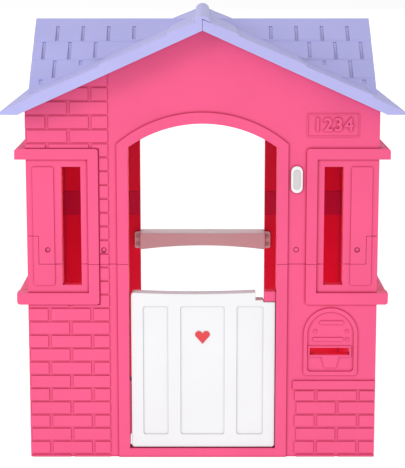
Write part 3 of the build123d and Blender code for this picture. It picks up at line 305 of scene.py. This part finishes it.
def plated_steel(name, base):
    """Zinc-plated steel with fine turning marks."""
    material, nodes, links, shader = new_nodes(name)
    place = nodes.new("ShaderNodeTexCoord")
    marks = noise(nodes, links, place, TURNING_SCALE, 2.0)
    tone = blend_colour(nodes, links, marks, [c * 0.85 for c in base], base)
    links.new(tone, shader.inputs["Base Color"])
    links.new(remap(nodes, links, marks, 0, 1, 0.28, 0.45), shader.inputs["Roughness"])
    shader.inputs["Metallic"].default_value = 1.0
    return material


MATERIALS = {}


def make_materials(colours):
    """Every finish of the playhouse, once."""
    MATERIALS.update({
        "wall": moulded_plastic("wall_plastic", colours.wall, 0.50, shade=colours.wall_painted_shade,
                                painted_room_colours=(colours.room, colours.room_lap_painted_shade)),
        "roof": moulded_plastic("roof_plastic", colours.roof, 0.52, grain=0.09),
        "door": moulded_plastic("door_plastic", colours.door, 0.42, shift=0.02),
        "counter": moulded_plastic("counter_plastic", colours.counter, 0.42, shift=0.03),
        "shutter": moulded_plastic("shutter_plastic", colours.roof, 0.46),
        "bell": moulded_plastic("bell_plastic", colours.door, 0.28, grain=0.02, gloss=0.4, shift=0.01),
        "button": moulded_plastic("button_plastic", colours.button, 0.38, grain=0.03, shift=0.02),
        "badge": moulded_plastic("badge_plastic", colours.badge, 0.25, grain=0.02, gloss=0.5, shift=0.04),
        "rubber": moulded_plastic("dome_rubber", RUBBER_BLACK, 0.7, grain=0.1),
        "board": moulded_plastic("board_resin", BOARD_GREEN, 0.35, grain=0.02),
        "steel": plated_steel("plated_steel", colours.steel),
        "screw": moulded_plastic("painted_screw", colours.wall, 0.34, grain=0.02),
        "cap_screw": moulded_plastic("painted_cap_screw", colours.roof, 0.34, grain=0.02),
    })


# ---------------------------------------------------------------- modelling helpers
def only(piece):
    """Selects one object and makes it active."""
    bpy.ops.object.select_all(action="DESELECT")
    piece.select_set(True)
    bpy.context.view_layer.objects.active = piece


def finish_piece(piece, material, body):
    """Puts the piece's place into its mesh, gives it its finish and hangs it on its body."""
    only(piece)
    bpy.ops.object.transform_apply(location=True, rotation=True, scale=True)
    piece.data.materials.clear()
    piece.data.materials.append(MATERIALS[material])
    bpy.ops.object.shade_smooth_by_angle(angle=HARD_ANGLE)
    flat = piece.modifiers.new("flat_faces", "WEIGHTED_NORMAL")
    flat.keep_sharp = True
    flat.weight = 100
    bpy.ops.object.modifier_apply(modifier="flat_faces")
    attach(piece, body)


def feature_width(mesh, polygon, start, end):
    """How wide a face is, square to one of its edges."""
    along = (end - start).normalized()
    offsets = [mesh.vertices[v].co - start for v in polygon.vertices]
    return max((offset - along * along.dot(offset)).length for offset in offsets)


def weigh_hard_edges(piece, width):
    """Marks the outward corners for rounding, more gently where a feature is small."""
    mesh = piece.data
    faces_of = {}
    for polygon in mesh.polygons:
        corners = list(polygon.vertices)
        for start, end in zip(corners, corners[1:] + corners[:1]):
            faces_of.setdefault((min(start, end), max(start, end)), []).append((polygon, start, end))
    weights = mesh.attributes.get("bevel_weight_edge")
    if weights is None:
        weights = mesh.attributes.new("bevel_weight_edge", "FLOAT", "EDGE")
    for edge in mesh.edges:
        sides = faces_of.get(tuple(sorted(edge.vertices)), [])
        weights.data[edge.index].value = 0.0
        if len(sides) != 2:
            continue
        (first, tail, head), (second, _, _) = sides
        start, end = mesh.vertices[tail].co, mesh.vertices[head].co
        turn = first.normal.angle(second.normal, 0)
        outward = first.normal.cross(second.normal).dot(end - start) > 0
        if turn < HARD_ANGLE or not outward:
            continue
        room = min(feature_width(mesh, face, start, end) for face in (first, second))
        weights.data[edge.index].value = min(1.0, EDGE_SHARE * room / width)


def rounded_moulding(node, name, width, segments, material, body="house",
                     sloping=False):
    """A moulding in a node's shape with its hidden hollow left out and its outward edges rounded.

    A piece with many sloping faces keeps them as triangles, which can't come apart when they are rounded.
    """
    source = frame["nodes"][node]
    piece = bpy.data.objects.new(name, source.data.copy())
    bpy.context.scene.collection.objects.link(piece)
    only(piece)
    bpy.ops.object.mode_set(mode="EDIT")
    bpy.ops.mesh.select_all(action="SELECT")
    bpy.ops.mesh.remove_doubles(threshold=MERGE_DISTANCE)
    bpy.ops.mesh.select_all(action="DESELECT")
    bpy.ops.object.mode_set(mode="OBJECT")
    outermost = max(piece.data.vertices,
                    key=lambda v: abs(v.co.x) + abs(v.co.y) + abs(v.co.z) * 0.3)
    outermost.select = True
    bpy.ops.object.mode_set(mode="EDIT")
    bpy.ops.mesh.select_linked()
    bpy.ops.mesh.select_all(action="INVERT")
    bpy.ops.mesh.delete(type="VERT")
    bpy.ops.mesh.select_all(action="SELECT")
    bpy.ops.mesh.dissolve_limited(angle_limit=FLAT_ANGLE)
    if sloping:
        bpy.ops.mesh.quads_convert_to_tris(quad_method="BEAUTY", ngon_method="BEAUTY")
    bpy.ops.object.mode_set(mode="OBJECT")
    weigh_hard_edges(piece, width)
    bevel = piece.modifiers.new("edges", "BEVEL")
    bevel.width = width
    bevel.segments = segments
    bevel.limit_method = "WEIGHT"
    bevel.use_clamp_overlap = False
    bpy.ops.object.modifier_apply(modifier="edges")
    finish_piece(piece, material, body)
    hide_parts(node)


# ---------------------------------------------------------------- operators
class PLAYHOUSE_OT_walls(Operator):
    """Round the eight hollow wall mouldings"""
    bl_idname = "playhouse.walls"
    bl_label = "Wall panels"

    def execute(self, context):
        shapes = context.scene.playhouse_shapes
        for node in WALL_PANELS:
            rounded_moulding(node, f"{node}_moulding", shapes.wall_edge, shapes.edge_segments, "wall")
        rounded_moulding("door_catch", "door_catch_moulding", shapes.small_edge, shapes.edge_segments, "wall")
        return {"FINISHED"}


class PLAYHOUSE_OT_roof(Operator):
    """Round the two roof mouldings with their cross gables and shingles"""
    bl_idname = "playhouse.roof"
    bl_label = "Roof"

    def execute(self, context):
        shapes = context.scene.playhouse_shapes
        for node in ROOF_HALVES:
            rounded_moulding(node, f"{node}_moulding", shapes.roof_edge, shapes.edge_segments, "roof",
                             sloping=True)
        return {"FINISHED"}


class PLAYHOUSE_OT_door(Operator):
    """Round the half door and set its heart badge"""
    bl_idname = "playhouse.door"
    bl_label = "Half door"

    def execute(self, context):
        shapes = context.scene.playhouse_shapes
        rounded_moulding("door", "door_moulding", shapes.door_edge, shapes.edge_segments, "door",
                         body="door")
        rounded_moulding("door_badge", "heart_badge", BADGE_EDGE, shapes.edge_segments, "badge",
                         body="door")
        return {"FINISHED"}


class PLAYHOUSE_OT_counter(Operator):
    """Round the counter across the rear doorway"""
    bl_idname = "playhouse.counter"
    bl_label = "Counter"

    def execute(self, context):
        shapes = context.scene.playhouse_shapes
        rounded_moulding("shelf", "counter_moulding", shapes.small_edge, shapes.edge_segments, "counter")
        return {"FINISHED"}


class PLAYHOUSE_OT_shutters(Operator):
    """Round the four louvred shutters"""
    bl_idname = "playhouse.shutters"
    bl_label = "Shutters"

    def execute(self, context):
        shapes = context.scene.playhouse_shapes
        for node in SHUTTERS:
            rounded_moulding(node, f"{node}_leaf", shapes.small_edge, shapes.edge_segments, "shutter",
                             body=node, sloping=True)
        return {"FINISHED"}


class PLAYHOUSE_OT_number(Operator):
    """Raise the house number's digits on the plate"""
    bl_idname = "playhouse.number"
    bl_label = "House number"

    def execute(self, context):
        shapes = context.scene.playhouse_shapes
        bpy.ops.object.select_all(action="DESELECT")
        plate_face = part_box("door")[0].y - PLATE_PROUD
        bpy.ops.object.text_add(location=(PLATE_X, plate_face, PLATE_Z), rotation=(math.pi / 2, 0, 0))
        digits = context.object
        digits.name = "house_number"
        digits.data.body = shapes.house_number
        digits.data.size = shapes.digit_height * DIGIT_FONT_SCALE
        digits.data.offset = DIGIT_SWELL
        digits.data.align_x = "CENTER"
        digits.data.align_y = "CENTER"
        digits.data.space_character = DIGIT_SPACING
        digits.data.extrude = shapes.digit_depth
        digits.data.bevel_depth = DIGIT_BEVEL
        digits.data.bevel_resolution = 2
        bpy.ops.object.convert(target="MESH")
        finish_piece(context.object, "wall", "house")
        return {"FINISHED"}


class PLAYHOUSE_OT_finishes(Operator):
    """Give the small nodes that keep their shape their real finish"""
    bl_idname = "playhouse.finishes"
    bl_label = "Small parts"

    def execute(self, context):
        for node, material in SMALL_FINISHES.items():
            mesh = frame["nodes"][node].data
            mesh.materials.clear()
            mesh.materials.append(MATERIALS[material])
        return {"FINISHED"}


class PLAYHOUSE_OT_stage(Operator):
    """Lay the pale floor, set the soft lights and aim the camera"""
    bl_idname = "playhouse.stage"
    bl_label = "Stage"

    def execute(self, context):
        scene = context.scene
        bpy.ops.object.select_all(action="DESELECT")
        bpy.ops.mesh.primitive_plane_add(size=FLOOR_SIZE, location=FLOOR_PLACE)
        floor = context.object
        floor.name = "studio_floor"
        material, _, _, shader = new_nodes("studio_floor_paint")
        shader.inputs["Base Color"].default_value = FLOOR_TONE
        shader.inputs["Roughness"].default_value = 0.9
        shader.inputs["Emission Color"].default_value = (1, 1, 1, 1)
        shader.inputs["Emission Strength"].default_value = FLOOR_GLOW
        floor.data.materials.append(material)
        world = bpy.data.worlds.new("studio_world")
        world.use_nodes = True
        sky, joins = world.node_tree.nodes, world.node_tree.links
        direction = sky.new("ShaderNodeSeparateXYZ")
        joins.new(sky.new("ShaderNodeTexCoord").outputs["Generated"], direction.inputs["Vector"])
        upward = remap(sky, joins, direction.outputs["Z"], SKY_LOW, SKY_HIGH, 1.0, SKY_TOP)
        sideways = remap(sky, joins, direction.outputs["X"], -1.0, 1.0, SKY_LEFT, SKY_RIGHT)
        strength = math_node(sky, joins, "MULTIPLY", upward, sideways)
        joins.new(strength, sky["Background"].inputs["Strength"])
        sky["Background"].inputs["Color"].default_value = (1, 1, 1, 1)
        scene.world = world
        scene.view_settings.view_transform = "Standard"
        for name, place, size, power in LIGHTS:
            light = bpy.data.lights.new(name, "AREA")
            light.energy = power
            light.size = size
            lamp = bpy.data.objects.new(name, light)
            scene.collection.objects.link(lamp)
            lamp.location = place
            aim = LIGHT_AIM - Vector(place)
            lamp.rotation_euler = aim.to_track_quat("-Z", "Y").to_euler()
        view = bpy.data.cameras.new("front_camera")
        view.lens = CAMERA_LENS
        view.shift_y = CAMERA_SHIFT
        camera = bpy.data.objects.new("front_camera", view)
        scene.collection.objects.link(camera)
        camera.location = CAMERA_PLACE
        camera.rotation_euler = (math.radians(90 - CAMERA_TILT), 0, 0)
        scene.camera = camera
        return {"FINISHED"}


class PLAYHOUSE_PT_panel(Panel):
    """Sizes, colours and pieces of the playhouse"""
    bl_label = "Playhouse"
    bl_idname = "PLAYHOUSE_PT_panel"
    bl_space_type = "VIEW_3D"
    bl_region_type = "UI"
    bl_category = "Playhouse"

    def draw(self, context):
        layout = self.layout
        for group in (context.scene.playhouse_shapes, context.scene.playhouse_colours):
            column = layout.column(align=True)
            for name in group.bl_rna.properties.keys():
                if name not in ("rna_type", "name"):
                    column.prop(group, name)
        for operator in PIECES:
            layout.operator(operator.bl_idname)


PIECES = (
    PLAYHOUSE_OT_stage,
    PLAYHOUSE_OT_walls,
    PLAYHOUSE_OT_roof,
    PLAYHOUSE_OT_door,
    PLAYHOUSE_OT_counter,
    PLAYHOUSE_OT_shutters,
    PLAYHOUSE_OT_number,
    PLAYHOUSE_OT_finishes,
)
CLASSES = (PlayhouseShapes, PlayhouseColours, *PIECES, PLAYHOUSE_PT_panel)


def register():
    for cls in CLASSES:
        bpy.utils.register_class(cls)
    bpy.types.Scene.playhouse_shapes = PointerProperty(type=PlayhouseShapes)
    bpy.types.Scene.playhouse_colours = PointerProperty(type=PlayhouseColours)


def unregister():
    del bpy.types.Scene.playhouse_colours
    del bpy.types.Scene.playhouse_shapes
    for cls in reversed(CLASSES):
        bpy.utils.unregister_class(cls)


def main():
    """Builds every piece and the stage."""
    register()
    make_materials(bpy.context.scene.playhouse_colours)
    for operator in PIECES:
        group, name = operator.bl_idname.split(".")
        getattr(getattr(bpy.ops, group), name)()


if __name__ == "__main__":
    main()
